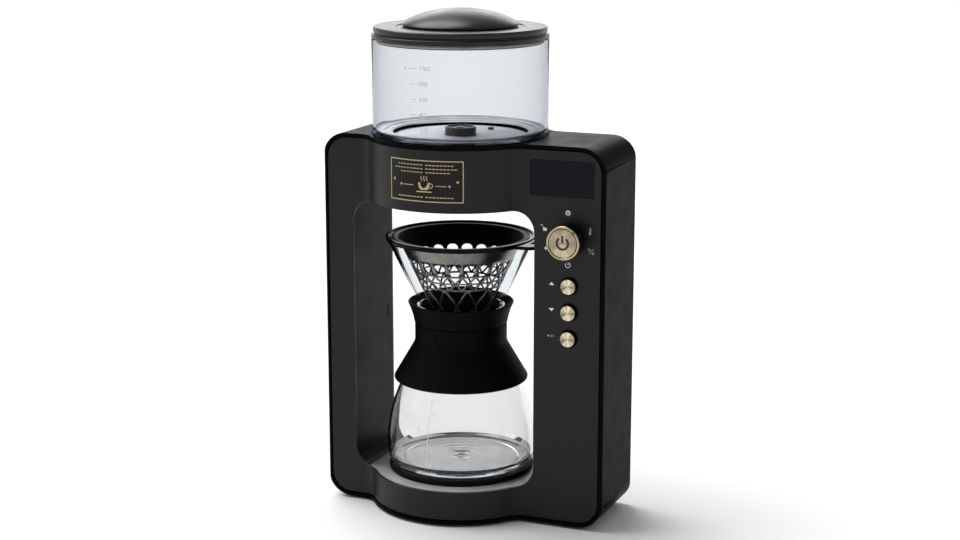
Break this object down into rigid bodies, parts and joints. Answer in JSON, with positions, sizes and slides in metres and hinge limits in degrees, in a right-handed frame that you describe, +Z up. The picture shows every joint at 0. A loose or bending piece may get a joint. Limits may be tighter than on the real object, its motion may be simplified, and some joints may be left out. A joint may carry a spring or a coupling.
{
  "type": "pour-over coffee brewer",
  "caption": "Pour-over drip brewer: clear round water tank over a windowed case, with a glass dripper, steel filter and glass carafe in the window, and a dial and push buttons on one pillar.",
  "frame": {"origin": "centre of the footprint, on the surface it stands on", "axes": "+Z up, +X to the user's right along the width, -Y towards the user, who faces the controls"},
  "size_m": [0.25, 0.154, 0.4221],
  "materials": {
    "case_black": "satin",
    "liner_black": "satin gloss",
    "inner_black": "matte",
    "gloss_black": "gloss",
    "lid_black": "satin",
    "rubber_black": "matte",
    "silicone_black": "matte",
    "silicone_grey": "satin",
    "tray_grey": "satin",
    "display": "gloss",
    "board": "solder mask",
    "steel": "brushed",
    "filter_steel": "brushed",
    "mesh_steel": "fine mesh",
    "dark_steel": "dark",
    "aluminium": "cast",
    "gold": "spun, champagne gold",
    "clear_plastic": "clear",
    "glass": "clear",
    "frosted": "frosted"
  },
  "bodies": {
    "housing": {"main_case": "case_black", "front_cover": "case_black", "back_cover": "case_black", "base_cover": "inner_black", "feet": "rubber_black", "base_screws": "steel", "window_liner": "liner_black", "tray_plate": "tray_grey", "carafe_rest": "rubber_black", "tank_socket": "inner_black", "socket_seal": "silicone_grey", "display_window": "display", "display_module": "inner_black", "control_board": "board", "standoffs": "steel", "rotary_encoder": "steel", "button_bezels": "gloss_black", "tact_switches": "inner_black", "nameplate": "gloss_black", "nameplate_frame": "gold", "nameplate_rivets": "gold", "shower_head": "inner_black", "shower_plate": "steel", "tank_hose": "silicone_grey", "pump_hose": "silicone_grey", "hot_water_hose": "silicone_grey", "pump_housing": "inner_black", "pump_motor": "steel", "flow_heater": "aluminium", "heater_brackets": "steel", "thermostat": "steel", "power_board": "board", "wire_harness": "rubber_black", "mains_inlet": "inner_black", "inlet_pins": "steel", "carafe_sensor": "gloss_black"},
    "tank": {"tank_wall": "clear_plastic", "tank_floor_disc": "frosted", "tank_sensor": "dark_steel", "valve_housing": "dark_steel", "valve_strainer": "dark_steel"},
    "valve": {"valve_poppet": "silicone_grey"},
    "lid": {"lid_plate": "lid_black", "lid_dome": "lid_black", "lid_seal": "silicone_grey"},
    "carafe": {"carafe_glass": "glass", "carafe_collar": "silicone_black"},
    "dripper": {"dripper_cone": "glass", "dripper_rim": "gloss_black"},
    "filter": {"filter_frame": "filter_steel", "filter_mesh": "mesh_steel"},
    "dial": {"dial_skirt": "gloss_black", "dial_shaft": "steel", "dial_ring": "gold"},
    "power_button": {"power_button": "gold", "power_stem": "steel"},
    "button_up": {"button_up": "gold"},
    "button_down": {"button_down": "gold"},
    "button_start": {"button_start": "gold"},
    "pump_rotor": {"pump_rotor": "silicone_grey"}
  },
  "joints": [
    {"name": "tank_lift", "type": "slide", "parent": "housing", "child": "tank", "axis": [0, 0, 1], "range_m": [0, 0.06]},
    {"name": "valve_close", "type": "slide", "parent": "tank", "child": "valve", "axis": [0, 0, 1], "range_m": [-0.003, 0]},
    {"name": "lid_lift", "type": "slide", "parent": "tank", "child": "lid", "axis": [0, 0, 1], "range_m": [0, 0.04]},
    {"name": "carafe_slide", "type": "slide", "parent": "housing", "child": "carafe", "axis": [0, -1, 0], "range_m": [0, 0.18]},
    {"name": "dripper_lift", "type": "slide", "parent": "carafe", "child": "dripper", "axis": [0, 0, 1], "range_m": [0, 0.01]},
    {"name": "filter_lift", "type": "slide", "parent": "dripper", "child": "filter", "axis": [0, 0, 1], "range_m": [0, 0.01]},
    {"name": "dial_turn", "type": "hinge", "parent": "housing", "child": "dial", "pos_m": [0.095, -0.045, 0.244], "axis": [0, -1, 0], "continuous": true},
    {"name": "power_press", "type": "slide", "parent": "housing", "child": "power_button", "axis": [0, 1, 0], "range_m": [0, 0.0008], "stiffness_N_per_m": 600, "springref_m": -0.0015},
    {"name": "press_up", "type": "slide", "parent": "housing", "child": "button_up", "axis": [0, 1, 0], "range_m": [0, 0.0012], "stiffness_N_per_m": 600, "springref_m": -0.0015},
    {"name": "press_down", "type": "slide", "parent": "housing", "child": "button_down", "axis": [0, 1, 0], "range_m": [0, 0.0012], "stiffness_N_per_m": 600, "springref_m": -0.0015},
    {"name": "press_start", "type": "slide", "parent": "housing", "child": "button_start", "axis": [0, 1, 0], "range_m": [0, 0.0012], "stiffness_N_per_m": 600, "springref_m": -0.0015},
    {"name": "pump_spin", "type": "hinge", "parent": "housing", "child": "pump_rotor", "pos_m": [0.09475, 0, 0.02], "axis": [0, 0, 1], "continuous": true}
  ],
  "couplings": [
    {"joint": "valve_close", "follows": "tank_lift", "ratio": -0.05}
  ]
}
